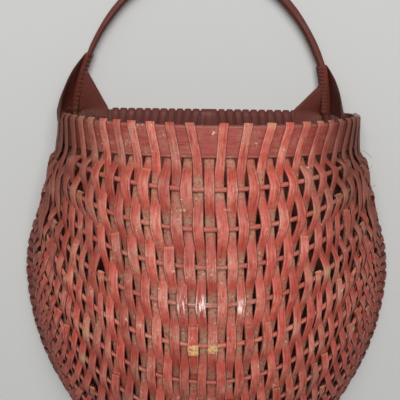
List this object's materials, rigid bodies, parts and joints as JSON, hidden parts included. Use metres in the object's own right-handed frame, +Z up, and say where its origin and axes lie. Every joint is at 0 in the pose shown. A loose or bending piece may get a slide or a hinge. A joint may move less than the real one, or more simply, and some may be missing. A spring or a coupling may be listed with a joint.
{
  "type": "wall basket",
  "caption": "Half-round rib basket woven from flat wood splints, with a flat back for a wall, a band rim and a fixed bow handle lashed on at two ears.",
  "frame": {"origin": "The peg seat: the underside of the bow handle's crown, where a wall peg or nail holds the basket.", "axes": "+X to the basket's right as seen from the room, +Y towards the wall, -Y to the room, +Z up."},
  "size_m": [0.3778, 0.1529, 0.5418],
  "materials": {
    "painted_rod": "worn matt red paint on whittled oak",
    "painted_band": "worn matt red paint on split oak",
    "painted_lashing": "worn matt red paint on wrapped oak splint",
    "painted_rib": "worn matt red paint on round oak ribs",
    "painted_splint": "worn matt red paint on split oak"
  },
  "bodies": {
    "root": {"handle_hoop": "painted_rod", "rim_hoop": "painted_band", "ear_lashing_left": "painted_lashing", "ear_lashing_right": "painted_lashing", "front_rib_01": "painted_rib", "front_rib_02": "painted_rib", "front_rib_03": "painted_rib", "front_rib_04": "painted_rib", "front_rib_05": "painted_rib", "front_rib_06": "painted_rib", "front_rib_07": "painted_rib", "front_rib_08": "painted_rib", "front_rib_09": "painted_rib", "front_rib_10": "painted_rib", "front_rib_11": "painted_rib", "back_rib_1": "painted_rib", "back_rib_2": "painted_rib", "back_rib_3": "painted_rib", "back_rib_4": "painted_rib", "back_rib_5": "painted_rib", "splint_middle": "painted_splint", "splint_left_01": "painted_splint", "splint_left_02": "painted_splint", "splint_left_03": "painted_splint", "splint_left_04": "painted_splint", "splint_left_05": "painted_splint", "splint_left_06": "painted_splint", "splint_left_07": "painted_splint", "splint_left_08": "painted_splint", "splint_left_09": "painted_splint", "splint_left_10": "painted_splint", "splint_left_11": "painted_splint", "splint_left_12": "painted_splint", "splint_left_13": "painted_splint", "splint_left_14": "painted_splint", "splint_left_15": "painted_splint", "splint_left_16": "painted_splint", "splint_left_17": "painted_splint", "splint_left_18": "painted_splint", "splint_left_19": "painted_splint", "splint_right_01": "painted_splint", "splint_right_02": "painted_splint", "splint_right_03": "painted_splint", "splint_right_04": "painted_splint", "splint_right_05": "painted_splint", "splint_right_06": "painted_splint", "splint_right_07": "painted_splint", "splint_right_08": "painted_splint", "splint_right_09": "painted_splint", "splint_right_10": "painted_splint", "splint_right_11": "painted_splint", "splint_right_12": "painted_splint", "splint_right_13": "painted_splint", "splint_right_14": "painted_splint", "splint_right_15": "painted_splint", "splint_right_16": "painted_splint", "splint_right_17": "painted_splint", "splint_right_18": "painted_splint", "splint_right_19": "painted_splint"}
  },
  "joints": []
}
